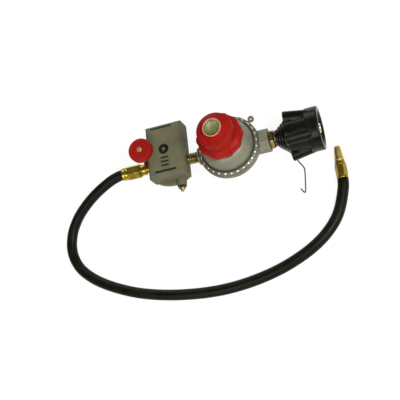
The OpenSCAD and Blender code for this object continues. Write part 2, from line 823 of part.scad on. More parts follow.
module needle_stem() {
    color(brass) at_gas() translate([valve_pos[0], valve_pos[1], 0]) difference() {
        union() {
            post(valve_stem_r, 6, knob_under - 1);
            post(2.5, knob_under - 1, knob_face - 1.6);
        }
        well(1.2, knob_face - 6, knob_face - 1.6);
    }
}

// Half outline of the small knob: dished face, rounded rim and hollow back
module knob_profile() {
    rim = 2;
    difference() {
        union() {
            translate([knob_r - rim, knob_face - rim]) circle(r = rim);
            polygon([[0, knob_under], [knob_r - 0.8, knob_under], [knob_r, knob_under + 0.8],
                [knob_r, knob_face - rim], [knob_r - rim, knob_face], [0, knob_face]]);
        }
        polygon([[-1, knob_face - 0.7], [knob_r - 3.6, knob_face - 0.7], [knob_r - 3, knob_face + 1],
            [-1, knob_face + 1]]);
        translate([-1, knob_face - 1.6]) square([5, 3]);
        translate([-1, knob_under - 1]) square([1 + 2.5, 12]);
        translate([5, knob_under - 1]) square([knob_r - 8, 4.5]);
    }
}

module needle_knob() {
    color(dark_red) at_gas() translate([valve_pos[0], valve_pos[1], 0]) rotate_extrude() knob_profile();
}

module knob_screw() {
    color(brass) at_gas() translate([valve_pos[0], valve_pos[1], 0]) difference() {
        union() {
            post(1.2, knob_face - 5.5, knob_face - 1.6);
            post(3.4, knob_face - 1.6, knob_face - 0.9);
            post(2.3, knob_face - 0.9, knob_face + 0.2);
        }
        translate([0, 0, knob_face]) cube([5, 0.8, 1.2], center = true);
    }
}

// Hose and its fittings

module hose_nut() {
    flange_room = -126.6;
    seat_x = -130.5;
    color(brass) at_gas() difference() {
        hex_bar(swivel_af, swivel_x0, swivel_x1);
        hole(6 + run_gap, seat_x, swivel_x1);
        hole(4.5 + run_gap, swivel_x0, flange_room);
    }
}

module hose_insert() {
    color(brass) at_gas() difference() {
        union() {
            bar(4.5, ferrule_x0, -130.2);
            bar(5.9, -130.2, valve_end - 0.1);
        }
        hole(2.5, ferrule_x0, valve_end);
    }
}

module hose_ferrule() {
    color(brass) at_gas() difference() {
        union() {
            bar(ferrule_r, ferrule_x0, swivel_x0 - 1);
            bar(ferrule_r - 1, swivel_x0 - 1, swivel_x0 - 0.3);
        }
        for (x = [ferrule_x0 + 3 : 4 : swivel_x0 - 4]) difference() {
            bar(ferrule_r + 1, x, x + 1.2);
            hole(ferrule_r - 0.5, x, x + 1.2);
        }
        hole(4.5, ferrule_x0, swivel_x0);
    }
}

// Direction of the hose at a route point, and a level vector across it
function hose_way(i) = i == 0 ? [-1, 0, 0] : i == len(hose_route) - 1 ? [0, 1, 0] :
    let (d = hose_route[i + 1] - hose_route[i - 1]) d / norm(d);
function level(t) = let (c = cross([0, 0, 1], t)) c / norm(c);

module lp_hose() {
    rings = [for (i = [0 : len(hose_route) - 1])
        let (t = hose_way(i), u = level(t)) ring_at(hose_route[i], u, cross(t, u), hose_r, hose_sides)];
    color(rubber) tube_mesh(rings, hose_sides);
}

module end_ferrule() {
    hex_af = 12;
    color(brass) translate(end_pos) along_y() {
        cylinder(r = hex_af / 2 / cos(30), h = 20, $fn = 6);
        post(spud_r + 0.7, 20, 22);
    }
}

module end_fitting() {
    tip_r = 3.3;
    color(brass) translate(end_pos) along_y() difference() {
        union() {
            post(spud_r, 22, 28.5);
            translate([0, 0, 28.5]) cylinder(r1 = spud_r - 0.3, r2 = tip_r, h = 12.5);
        }
        well(1.6, 22, 41);
    }
}

coupling_nut();
inlet_nipple();
thermal_bushing();
nose_seal();
flow_poppet();
flow_spring();
poppet_retainer();
wire_hook();
regulator_body();
bonnet();
flange_rivets();
diaphragm();
diaphragm_plate();
main_spring();
spring_button();
adjusting_cap();
adjusting_screw();
valve_lever();
lever_pin();
seat_carrier();
seat_pad();
inlet_orifice();
outlet_nipple();
timer_cover();
rear_housing();
cover_screws();
battery_door();
reset_button();
button_spring();
circuit_board();
push_switch();
buzzer();
battery();
battery_contacts();
valve_block();
plunger_tube();
coil_bobbin();
coil_winding();
plunger();
plunger_seal();
plunger_spring();
test_plug();
needle_valve_body();
packing_nut();
needle_tip();
needle_stem();
needle_knob();
knob_screw();
hose_nut();
hose_insert();
hose_ferrule();
lp_hose();
end_ferrule();
end_fitting();
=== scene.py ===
import math

import bmesh
import bpy
from mathutils import Matrix, Vector


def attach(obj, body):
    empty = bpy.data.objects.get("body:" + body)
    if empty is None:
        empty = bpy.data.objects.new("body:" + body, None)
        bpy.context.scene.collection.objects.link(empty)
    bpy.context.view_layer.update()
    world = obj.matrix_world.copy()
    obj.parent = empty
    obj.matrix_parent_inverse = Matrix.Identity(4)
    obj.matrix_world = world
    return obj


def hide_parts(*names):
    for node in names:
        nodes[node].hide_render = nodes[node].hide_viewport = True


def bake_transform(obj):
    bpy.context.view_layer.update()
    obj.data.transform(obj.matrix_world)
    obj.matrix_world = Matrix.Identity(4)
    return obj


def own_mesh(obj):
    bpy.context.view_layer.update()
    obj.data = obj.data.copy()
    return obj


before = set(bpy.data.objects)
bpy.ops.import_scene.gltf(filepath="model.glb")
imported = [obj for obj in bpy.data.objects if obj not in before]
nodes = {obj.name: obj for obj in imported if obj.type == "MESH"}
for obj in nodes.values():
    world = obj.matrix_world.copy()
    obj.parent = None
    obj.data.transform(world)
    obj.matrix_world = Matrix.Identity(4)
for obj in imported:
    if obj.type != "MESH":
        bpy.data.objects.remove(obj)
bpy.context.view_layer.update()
scene = bpy.context.scene

# One millimetre in the frame's metres
MM = 0.001

# Where the regulator's axis and the gas line stand in the frame, in millimetres
REGULATOR_AXIS = Vector((16.0, 9.0, 31.5))

# Places in millimetres from the regulator's axis and the gas line
BUTTON_SPOT = (-78, 12.5)
COIL_SPOT = (-80, 2)
KNOB_SPOT = (-106, 15)
PLUG_SPOT = (-67.8, 0, -5)

# The hose's centre line, in metres, from the near ferrule to the end fitting
HOSE_RADIUS = 0.0066
HOSE_LOW = HOSE_RADIUS
HOSE_ROUTE = [
    (-0.126, 0.009, 0.0315), (-0.1368, 0.0073, 0.0315), (-0.1474, 0.0035, 0.031),
    (-0.1674, -0.0058, 0.0275), (-0.1862, -0.0166, 0.0215), (-0.2032, -0.0295, 0.014),
    (-0.2146, -0.0478, 0.009), (-0.2166, -0.070, 0.007), (-0.208, -0.0908, HOSE_LOW),
    (-0.1916, -0.1071, HOSE_LOW), (-0.1725, -0.1193, HOSE_LOW), (-0.152, -0.129, HOSE_LOW),
    (-0.1311, -0.1369, HOSE_LOW), (-0.1091, -0.1429, HOSE_LOW), (-0.0866, -0.1473, HOSE_LOW),
    (-0.064, -0.1502, HOSE_LOW), (-0.0415, -0.1518, HOSE_LOW), (-0.0189, -0.1518, HOSE_LOW),
    (0.0037, -0.1498, HOSE_LOW), (0.0262, -0.1459, HOSE_LOW), (0.0483, -0.1402, HOSE_LOW),
    (0.0694, -0.1323, HOSE_LOW), (0.0899, -0.122, HOSE_LOW), (0.1083, -0.1086, HOSE_LOW),
    (0.1232, -0.0913, HOSE_LOW), (0.1323, -0.0706, HOSE_LOW), (0.137, -0.049, HOSE_LOW),
]
HOSE_START_PULL = Vector((-0.0055, 0, 0))
HOSE_END_PULL = Vector((0, 0.0075, 0))


def on_gas_line(x, y=0.0, z=0.0):
    """A point given in millimetres from the regulator's axis and the gas line, in the frame's metres."""
    return (Vector((x, y, z)) + REGULATOR_AXIS) * MM


# Camera

CAMERA_PLACE = (0.2116, -0.3157, 0.7814)
CAMERA_RIGHT = Vector((0.9348, -0.1061, -0.3390))
CAMERA_AHEAD = Vector((-0.2897, 0.3242, -0.9005))
CAMERA_LENS = 62.94
SENSOR_WIDTH = 36.0


def place_camera():
    """A camera that looks down on the part, rolled like the photo's."""
    data = bpy.data.cameras.new("photo_camera")
    data.sensor_width = SENSOR_WIDTH
    data.lens = CAMERA_LENS
    data.clip_start = 0.01
    camera = bpy.data.objects.new("photo_camera", data)
    scene.collection.objects.link(camera)
    right = CAMERA_RIGHT.normalized()
    ahead = (CAMERA_AHEAD - right * CAMERA_AHEAD.dot(right)).normalized()
    up = right.cross(ahead)
    turn = Matrix((right, up, -ahead)).transposed().to_4x4()
    camera.matrix_world = Matrix.Translation(CAMERA_PLACE) @ turn
    scene.camera = camera


# Material building blocks

def new_group(name, inputs, outputs):
    """An empty shader node group with named sockets; inputs are (name, kind, default)."""
    group = bpy.data.node_groups.new(name, "ShaderNodeTree")
    for label, kind, value in inputs:
        socket = group.interface.new_socket(label, in_out="INPUT", socket_type=kind)
        socket.default_value = value
    for label in outputs:
        group.interface.new_socket(label, in_out="OUTPUT", socket_type="NodeSocketFloat")
    start = group.nodes.new("NodeGroupInput")
    end = group.nodes.new("NodeGroupOutput")
    return group, start.outputs, end.inputs


def feed(tree, socket, value):
    """Links a socket to another socket, or sets it to a plain value."""
    if isinstance(value, bpy.types.NodeSocket):
        tree.links.new(value, socket)
    else:
        socket.default_value = value


def object_place(tree):
    """Where a shaded point lies in its object's own space."""
    return tree.nodes.new("ShaderNodeTexCoord").outputs["Object"]


def add_noise(tree, vector, scale, detail, rough=0.55):
    noise = tree.nodes.new("ShaderNodeTexNoise")
    noise.inputs["Detail"].default_value = detail
    noise.inputs["Roughness"].default_value = rough
    feed(tree, noise.inputs["Vector"], vector)
    feed(tree, noise.inputs["Scale"], scale)
    return noise.outputs["Fac"]


def add_range(tree, value, low, high, to_low=0.0, to_high=1.0):
    node = tree.nodes.new("ShaderNodeMapRange")
    node.interpolation_type = "SMOOTHSTEP"
    feed(tree, node.inputs["Value"], value)
    feed(tree, node.inputs["From Min"], low)
    feed(tree, node.inputs["From Max"], high)
    feed(tree, node.inputs["To Min"], to_low)
    feed(tree, node.inputs["To Max"], to_high)
    return node.outputs["Result"]


def add_math(tree, operation, first, second=0.0):
    node = tree.nodes.new("ShaderNodeMath")
    node.operation = operation
    feed(tree, node.inputs[0], first)
    feed(tree, node.inputs[1], second)
    return node.outputs["Value"]


def add_vector_math(tree, operation, first, second):
    node = tree.nodes.new("ShaderNodeVectorMath")
    node.operation = operation
    feed(tree, node.inputs[0], first)
    feed(tree, node.inputs[1], second)
    return node.outputs["Vector"]


def add_length(tree, vector):
    node = tree.nodes.new("ShaderNodeVectorMath")
    node.operation = "LENGTH"
    feed(tree, node.inputs[0], vector)
    return node.outputs["Value"]


def add_parts(tree, vector):
    """The X, Y and Z of a vector, by name."""
    node = tree.nodes.new("ShaderNodeSeparateXYZ")
    feed(tree, node.inputs["Vector"], vector)
    return node.outputs


def moulded_grain_group():
    """Fine moulded or cast surface: a soft colour cloud, a roughness cloud and a fine relief."""
    group, given, result = new_group(
        "moulded_grain",
        [("Cloud Scale", "NodeSocketFloat", 60.0), ("Grain Scale", "NodeSocketFloat", 2500.0),
         ("Roughness", "NodeSocketFloat", 0.5), ("Spread", "NodeSocketFloat", 0.1)],
        ["Cloud", "Roughness", "Relief"])
    place = object_place(group)
    cloud = add_noise(group, place, given["Cloud Scale"], 4.0)
    grain = add_noise(group, place, given["Grain Scale"], 3.0)
    feed(group, result["Cloud"], add_range(group, cloud, 0.3, 0.7))
    low = add_math(group, "SUBTRACT", given["Roughness"], given["Spread"])
    high = add_math(group, "ADD", given["Roughness"], given["Spread"])
    cloud_part = add_math(group, "MULTIPLY", cloud, 0.6)
    grain_part = add_math(group, "MULTIPLY", grain, 0.4)
    mixed = add_math(group, "ADD", cloud_part, grain_part)
    feed(group, result["Roughness"], add_range(group, mixed, 0.35, 0.65, low, high))
    feed(group, result["Relief"], grain)
    return group


def turned_metal_group():
    """Machined metal: fine tool lines across a chosen axis, and a slow tarnish cloud."""
    group, given, result = new_group(
        "turned_metal",
        [("Stretch", "NodeSocketVector", (1.0, 1.0, 1.0)), ("Roughness", "NodeSocketFloat", 0.3)],
        ["Tarnish", "Roughness", "Relief"])
    place = object_place(group)
    stretched = add_vector_math(group, "MULTIPLY", place, given["Stretch"])
    lines = add_noise(group, stretched, 1.0, 2.0)
    cloud = add_noise(group, place, 110.0, 5.0)
    feed(group, result["Tarnish"], add_range(group, cloud, 0.35, 0.68))
    low = add_math(group, "SUBTRACT", given["Roughness"], 0.08)
    high = add_math(group, "ADD", given["Roughness"], 0.14)
    mixed = add_math(group, "MULTIPLY", add_math(group, "ADD", lines, cloud), 0.5)
    feed(group, result["Roughness"], add_range(group, mixed, 0.35, 0.65, low, high))
    feed(group, result["Relief"], lines)
    return group


def handling_group():
    """Dull smudges and pale scuffs left by handling, in broad soft patches."""
    group, given, result = new_group(
        "handling_marks",
        [("Scale", "NodeSocketFloat", 35.0), ("Amount", "NodeSocketFloat", 0.3)],
        ["Smudge", "Scuff"])
    place = object_place(group)
    broad = add_noise(group, place, given["Scale"], 6.0, 0.6)
    fine = add_noise(group, place, 900.0, 2.0)
    smudge = add_range(group, broad, 0.45, 0.75)
    feed(group, result["Smudge"], add_math(group, "MULTIPLY", smudge, given["Amount"]))
    patches = add_range(group, broad, 0.55, 0.7)
    specks = add_range(group, fine, 0.58, 0.7)
    spots = add_math(group, "MULTIPLY", patches, specks)
    feed(group, result["Scuff"], add_math(group, "MULTIPLY", spots, given["Amount"]))
    return group


GROUPS = {}


def use_group(tree, name, **values):
    node = tree.nodes.new("ShaderNodeGroup")
    node.node_tree = GROUPS[name]
    for label, value in values.items():
        node.inputs[label.replace("_", " ")].default_value = value
    return node.outputs


def mix_colour(tree, factor, first, second):
    """Blends two colours, each given as numbers or as a socket, by a mask."""
    node = tree.nodes.new("ShaderNodeMix")
    node.data_type = "RGBA"
    feed(tree, node.inputs["Factor"], factor)
    for socket, value in ((node.inputs[6], first), (node.inputs[7], second)):
        feed(tree, socket, (*value, 1.0) if isinstance(value, tuple) else value)
    return node.outputs[2]


def new_material(name):
    material = bpy.data.materials.new(name)
    material.use_nodes = True
    return material, material.node_tree, material.node_tree.nodes["Principled BSDF"]


def add_bump(tree, shader, height, strength, distance):
    bump = tree.nodes.new("ShaderNodeBump")
    bump.inputs["Strength"].default_value = strength
    bump.inputs["Distance"].default_value = distance
    feed(tree, bump.inputs["Height"], height)
    feed(tree, shader.inputs["Normal"], bump.outputs["Normal"])


# How far a moulded roughness strays, and how deep the fine relief is, in metres
ROUGHNESS_SPREAD = 0.08
MOULDED_RELIEF = 0.0002
TURNED_RELIEF = 0.0001


def darker(colour, part):
    return tuple(part * c for c in colour)


def moulded(name, colour, second, roughness, grain=2500.0, relief=0.15, specular=0.5, smudge=0.3,
            scuff=None, metallic=0.0, cloud=60.0):
    """Plastic, paint or rubber: two close tones in soft clouds, smudges, scuffs and a fine grain."""
    material, tree, shader = new_material(name)
    surface = use_group(tree, "moulded_grain", Cloud_Scale=cloud, Grain_Scale=grain,
                        Roughness=roughness, Spread=ROUGHNESS_SPREAD)
    marks = use_group(tree, "handling_marks", Amount=smudge)
    tone = mix_colour(tree, surface["Cloud"], colour, second)
    tone = mix_colour(tree, marks["Smudge"], tone, darker(colour, 0.55))
    if scuff:
        tone = mix_colour(tree, marks["Scuff"], tone, scuff)
    feed(tree, shader.inputs["Base Color"], tone)
    feed(tree, shader.inputs["Roughness"], surface["Roughness"])
    shader.inputs["Specular IOR Level"].default_value = specular
    shader.inputs["Metallic"].default_value = metallic
    add_bump(tree, shader, surface["Relief"], relief, MOULDED_RELIEF)
    return material


def turned(name, colour, tarnish, roughness, stretch, relief=0.12):
    """Bare machined or drawn metal with tool lines and tarnish."""
    material, tree, shader = new_material(name)
    surface = use_group(tree, "turned_metal", Stretch=stretch, Roughness=roughness)
    marks = use_group(tree, "handling_marks", Scale=70.0, Amount=0.35)
    tone = mix_colour(tree, surface["Tarnish"], colour, tarnish)
    tone = mix_colour(tree, marks["Smudge"], tone, darker(tarnish, 0.5))
    feed(tree, shader.inputs["Base Color"], tone)
    feed(tree, shader.inputs["Roughness"], surface["Roughness"])
    shader.inputs["Metallic"].default_value = 1.0
    add_bump(tree, shader, surface["Relief"], relief, TURNED_RELIEF)
    return material


def tint(tree, mask, colour):
    """Lays a colour over a material's tone, as far as a mask says."""
    base = tree.nodes["Principled BSDF"].inputs["Base Color"]
    tone = base.links[0].from_socket
    feed(tree, base, mix_colour(tree, mask, tone, colour))


# Finishes

# How much the tool lines are drawn out, for metal turned about each axis
ALONG_X = (2600.0, 30.0, 30.0)
ALONG_Y = (30.0, 2600.0, 30.0)
ALONG_Z = (30.0, 30.0, 2600.0)

CASTING = {"grain": 1300.0, "relief": 0.3, "metallic": 0.15, "scuff": (0.45, 0.45, 0.38)}

# Name, two tones, roughness, and what else sets the finish apart
MOULDED = [
    ("nut_black", (0.0025, 0.0025, 0.001), (0.005, 0.005, 0.002), 0.30,
     {"specular": 0.21, "scuff": (0.05, 0.05, 0.035)}),
    ("button_black", (0.006, 0.006, 0.003), (0.011, 0.010, 0.006), 0.42, {"specular": 0.12}),
    # The grey of the next finish is a painted highlight in the reset button's dish
    ("button_dot_highlight", (0.105, 0.10, 0.075), (0.14, 0.135, 0.10), 0.5, {"specular": 0.2}),
    ("cap_red", (0.305, 0.0095, 0.0057), (0.252, 0.0076, 0.0048), 0.40,
     {"specular": 0.06, "relief": 0.08, "scuff": (0.36, 0.05, 0.035)}),
    # The pale tones of the next finish are a painted highlight on the lip of the cap's bore
    ("cap_rim_highlight", (0.60, 0.36, 0.22), (0.46, 0.17, 0.10), 0.45, {"specular": 0.2}),
    ("knob_red", (0.33, 0.010, 0.007), (0.27, 0.008, 0.006), 0.36, {"specular": 0.08, "relief": 0.08}),
    ("casting_grey", (0.186, 0.186, 0.135), (0.149, 0.149, 0.107), 0.50, CASTING),
    ("box_grey", (0.140, 0.137, 0.086), (0.117, 0.114, 0.072), 0.50,
     {"grain": 1800.0, "relief": 0.25, "specular": 0.1, "smudge": 0.35, "scuff": (0.26, 0.25, 0.19)}),
    ("mark_dark", (0.011, 0.0105, 0.005), (0.018, 0.017, 0.009), 0.55, {"specular": 0.15}),
    ("stake_bright", (0.68, 0.68, 0.60), (0.54, 0.54, 0.47), 0.34, {"metallic": 1.0, "smudge": 0.2}),
    ("rubber_black", (0.0045, 0.0035, 0.002), (0.008, 0.0065, 0.0035), 0.42,
     {"relief": 0.2, "specular": 0.12, "scuff": (0.05, 0.048, 0.04)}),
    ("board_green", (0.025, 0.10, 0.035), (0.035, 0.13, 0.05), 0.35, {}),
    ("bobbin_pale", (0.66, 0.61, 0.46), (0.58, 0.53, 0.40), 0.5, {}),
]

# Name, clean tone, tarnished tone, roughness and tool lines
TURNED = [
    ("brass_x", (0.60, 0.44, 0.07), (0.36, 0.255, 0.03), 0.29, ALONG_X),
    # The pale tones of the next finish are a painted highlight on the parts at the nipple's nose
    ("brass_tip_highlight", (0.80, 0.76, 0.52), (0.66, 0.60, 0.36), 0.30, ALONG_X),
    ("brass_dark", (0.34, 0.275, 0.10), (0.16, 0.13, 0.05), 0.34, ALONG_X),
    ("brass_y", (0.84, 0.66, 0.23), (0.70, 0.53, 0.17), 0.44, ALONG_Y),
    ("brass_olive", (0.44, 0.31, 0.04), (0.27, 0.18, 0.02), 0.30, ALONG_Y),
    ("brass_z", (0.44, 0.31, 0.07), (0.28, 0.19, 0.035), 0.28, ALONG_Z),
    ("brass_bright", (0.86, 0.74, 0.42), (0.58, 0.46, 0.22), 0.34, ALONG_Z),
    ("steel_plain", (0.55, 0.55, 0.51), (0.38, 0.38, 0.34), 0.35, ALONG_Z),
    ("steel_wire", (0.20, 0.20, 0.155), (0.125, 0.125, 0.095), 0.38, ALONG_Y),
    ("plug_brass", (0.34, 0.25, 0.11), (0.14, 0.105, 0.045), 0.28, ALONG_Y),
]


def casting_dome():
    """The grey casting, with painted shade in the groove around the dome's foot, and darker on the outer
    flange.
    """
    material = moulded("casting_dome", (0.212, 0.217, 0.164), (0.170, 0.175, 0.132), 0.50, **CASTING)
    tree = material.node_tree
    off = add_vector_math(tree, "SUBTRACT", object_place(tree), REGULATOR_AXIS * MM)
    reach = add_length(tree, add_vector_math(tree, "MULTIPLY", off, (1.0, 1.0, 0.0)))
    # Painted shade in the groove around the dome's foot
    inner = add_range(tree, reach, 0.0312, 0.0322)
    outer = add_range(tree, reach, 0.0329, 0.0340, 1.0, 0.0)
    tint(tree, add_math(tree, "MULTIPLY", inner, outer), (0.045, 0.045, 0.03))
    # The outer flange is darker
    tint(tree, add_range(tree, reach, 0.0334, 0.0342, 0.0, 0.8), (0.085, 0.082, 0.06))
    return material


def nose_brass():
    """Warm brass, with a painted pale highlight on the nose of the inlet nipple."""
    material = turned("brass_warm", (0.50, 0.36, 0.12), (0.15, 0.09, 0.03), 0.22, ALONG_X)
    tree = material.node_tree
    place = add_parts(tree, object_place(tree))
    # Painted highlight on the nipple's nose
    tint(tree, add_range(tree, place["X"], 0.090, 0.094), (0.86, 0.86, 0.60))
    return material


def zinc_screw():
    """Dull zinc of the adjusting screw, with a painted highlight on its far edge, a painted slot shadow
    and painted shade on its near edge.
    """
    slot_shadow_x = 0.0165
    material = moulded("zinc_dull", (0.25, 0.29, 0.135), (0.17, 0.195, 0.085), 0.5,
                       metallic=0.25, specular=0.3, cloud=220.0)
    tree = material.node_tree
    place = add_parts(tree, object_place(tree))
    across = add_math(tree, "ABSOLUTE", add_math(tree, "SUBTRACT", place["X"], slot_shadow_x))
    along = add_math(tree, "SUBTRACT", place["Y"], REGULATOR_AXIS.y * MM)
    # Painted highlight on the far edge
    tint(tree, add_range(tree, along, 0.002, 0.0075, 0.0, 0.7), (0.42, 0.38, 0.24))
    # Painted shadow of a slot, a dark stripe across the middle
    tint(tree, add_range(tree, across, 0.0008, 0.0040, 0.5, 0.0), (0.11, 0.12, 0.03))
    # Painted shade on the near edge
    tint(tree, add_range(tree, along, -0.0070, 0.0005, 0.8, 0.0), (0.10, 0.085, 0.018))
    return material


def winding_copper():
    """Fine copper wire in close layers."""
    return turned("winding_copper", (0.60, 0.26, 0.10), (0.42, 0.16, 0.06), 0.32,
                  (60.0, 60.0, 4000.0), 0.4)


def build_finishes():
    """All finishes by name."""
    GROUPS["moulded_grain"] = moulded_grain_group()
    GROUPS["turned_metal"] = turned_metal_group()
    GROUPS["handling_marks"] = handling_group()
    finish = {}
    for name, colour, second, roughness, more in MOULDED:
        finish[name] = moulded(name, colour, second, roughness, **more)
    for name, colour, tarnish, roughness, stretch in TURNED:
        finish[name] = turned(name, colour, tarnish, roughness, stretch)
    finish["casting_dome"] = casting_dome()
    finish["brass_warm"] = nose_brass()
    finish["zinc_dull"] = zinc_screw()
    finish["winding_copper"] = winding_copper()
    return finish


# Mesh building blocks

def round_corners(points, steps=5):
    """Turns (radius, station, fillet) corners of an open outline into a smooth (radius, station) list."""
    out = []
    for i, (r, a, fillet) in enumerate(points):
        here = Vector((r, a))
        if fillet <= 0 or i == 0 or i == len(points) - 1:
            out.append(here)
            continue
        back = Vector(points[i - 1][:2]) - here
        on = Vector(points[i + 1][:2]) - here
        reach = min(fillet, 0.48 * back.length, 0.48 * on.length)
        first = here + back.normalized() * reach
        last = here + on.normalized() * reach
        for k in range(steps + 1):
            t = k / steps
            out.append(first * (1 - t) ** 2 + here * (2 * t * (1 - t)) + last * t * t)
    return [(p.x, p.y) for p in out]


def add_piece(name, bm, material, sharp=35.0):
    """Makes an object of a mesh, shaded smooth except across edges sharper than an angle."""
    mesh = bpy.data.meshes.new(name)
    bmesh.ops.remove_doubles(bm, verts=bm.verts, dist=1e-6)
    bmesh.ops.recalc_face_normals(bm, faces=bm.faces)
    bm.to_mesh(mesh)
    bm.free()
    mesh.polygons.foreach_set("use_smooth", [True] * len(mesh.polygons))
    mesh.set_sharp_from_angle(angle=math.radians(sharp))
    mesh.materials.append(material)
    piece = bpy.data.objects.new(name, mesh)
    scene.collection.objects.link(piece)
    return piece


def join_rings(bm, low, high):
    """A belt of faces between two rings of as many points."""
    count = len(low)
    for k in range(count):
        m = (k + 1) % count
        bm.faces.new((low[k], low[m], high[m], high[k]))


def turned_piece(name, outline, centre, axis, material, steps=96, grow=None, closed=True, sharp=35.0):
    """Revolves an outline of (radius, station) in millimetres about an axis through centre."""
    bm = bmesh.new()
    rings = []
    for r, a in outline:
        ring = []
        for k in range(steps):
            angle = 2 * math.pi * k / steps
            reach = (grow(angle, r, a) if grow else r) * MM
            c = reach * math.cos(angle)
            s = reach * math.sin(angle)
            h = a * MM
            local = {"x": (h, c, s), "y": (s, h, c), "z": (c, s, h)}[axis]
            ring.append(bm.verts.new(centre + Vector(local)))
        rings.append(ring)
    for low, high in zip(rings, rings[1:]):
        join_rings(bm, low, high)
    if closed:
        join_rings(bm, rings[-1], rings[0])
    return add_piece(name, bm, material, sharp)


def wire_piece(name, points, radius, material, sides=3):
    """A round bent wire or tube as one smooth curve through points, in metres."""
    data = bpy.data.curves.new(name, "CURVE")
    data.dimensions = "3D"
    data.resolution_u = 8
    data.bevel_depth = radius
    data.bevel_resolution = sides
    data.use_fill_caps = True
    spline = data.splines.new("BEZIER")
    spline.bezier_points.add(len(points) - 1)
    route = [Vector(p) for p in points]
    for i, knot in enumerate(spline.bezier_points):
        here = route[i]
        back = route[max(i - 1, 0)]
        on = route[min(i + 1, len(route) - 1)]
        way = (on - back).normalized()
        knot.co = here
        knot.handle_left_type = "FREE"
        knot.handle_right_type = "FREE"
        knot.handle_left = here - way * (here - back).length / 3
        knot.handle_right = here + way * (on - here).length / 3
    data.materials.append(material)
    piece = bpy.data.objects.new(name, data)
    scene.collection.objects.link(piece)
    return piece


def dress(node, material, edge=0.0):
    """Gives a solid its finish, and a small rounding along its sharp edges."""
    solid = nodes[node]
    for slot in solid.material_slots:
        slot.material = material
    if not solid.material_slots:
        solid.data.materials.append(material)
    if edge > 0:
        weld = solid.modifiers.new("joined", "WELD")
        weld.merge_threshold = 1e-6
        bevel = solid.modifiers.new("rounded_edges", "BEVEL")
        bevel.width = edge * MM
        bevel.segments = 3
        bevel.limit_method = "ANGLE"
        bevel.angle_limit = math.radians(40)
        bevel.harden_normals = True


def rides_on(piece, body):
    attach(piece, body)


def stands_for(piece, body, node):
    rides_on(piece, body)
    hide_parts(node)


def ease(value, low, high):
    t = min(1.0, max(0.0, (value - low) / (high - low)))
    return t * t * (3 - 2 * t)


# Hose

def lay_hose(finish):
    """The hose along its route, leaving both ferrules straight."""
    hose = wire_piece("rubber_hose", HOSE_ROUTE, HOSE_RADIUS, finish["rubber_black"], 6)
    knots = hose.data.splines[0].bezier_points
    knots[0].handle_right = knots[0].co + HOSE_START_PULL
    knots[-1].handle_left = knots[-1].co - HOSE_END_PULL
    stands_for(hose, "regulator", "lp_hose")
    return hose


# Coupling nut, with stations along the gas line in millimetres

NUT_LOBES = 5
LOBE_TURN = math.radians(-21.0)
LOBE_RING = 24.1
LOBE_TAPER = 4.3
LOBE_LENGTH = 24.0
LOBE_RADIUS = 7.2
LOBE_END = 103.0
LOBE_BLEND = 0.5
LOBE_FADE = math.radians(4.0)
LOBE_FOOT = 0.76
LOBE_CROWN = 1.6
NECK_FROM = 57.2
NECK_STEPS = 4
NECK_RADIUS = 10.0
NECK_GROWTH = 8.3 / 3
GRIP_FROM = 71.0
GRIP_TO = 95.3
WEB_RADIUS = 22.5
COLLAR_RADIUS = 26.0
NUT_END = 110
MOUTH_FLOOR = 73.0
STEM_BORE = 6.55
THREAD_TURNS = 4
THREAD_FROM = 102.0
THREAD_TOP = 16.4
THREAD_DEEP = 17.6
THREAD_PITCH = 5.08


def lobe_rise(angle, station):
    """How far the leaning finger lobes stand out of the grip, at an angle about the gas line."""
    ring = LOBE_RING - LOBE_TAPER * (station - GRIP_FROM) / LOBE_LENGTH
    step = 2 * math.pi / NUT_LOBES
    off = abs((angle - LOBE_TURN + step / 2) % step - step / 2)
    edge = math.asin(LOBE_RADIUS / ring)
    side = min(off, edge)
    bulge = math.sqrt(max(0.0, LOBE_RADIUS ** 2 - (ring * math.sin(side)) ** 2))
    reach = ring * math.cos(side) + bulge
    soft = LOBE_BLEND * math.log(1 + math.exp((reach - WEB_RADIUS) / LOBE_BLEND))
    return soft * (1 - ease(off, edge, edge + LOBE_FADE))


def nut_grow(angle, r, a):
    """Raises the finger lobes out of the grip, and lets them run out on the collar."""
    if r < WEB_RADIUS - 1.2 or a < GRIP_FROM or a > LOBE_END:
        return r
    if a > GRIP_TO + 0.001:
        return max(r, WEB_RADIUS + lobe_rise(angle, a))
    end = max(0.0, a - GRIP_FROM)
    crown = math.sqrt(max(0.0, 1 - (1 - min(1.0, end / LOBE_CROWN)) ** 2))
    return r + lobe_rise(angle, a) * (LOBE_FOOT + (1 - LOBE_FOOT) * crown)


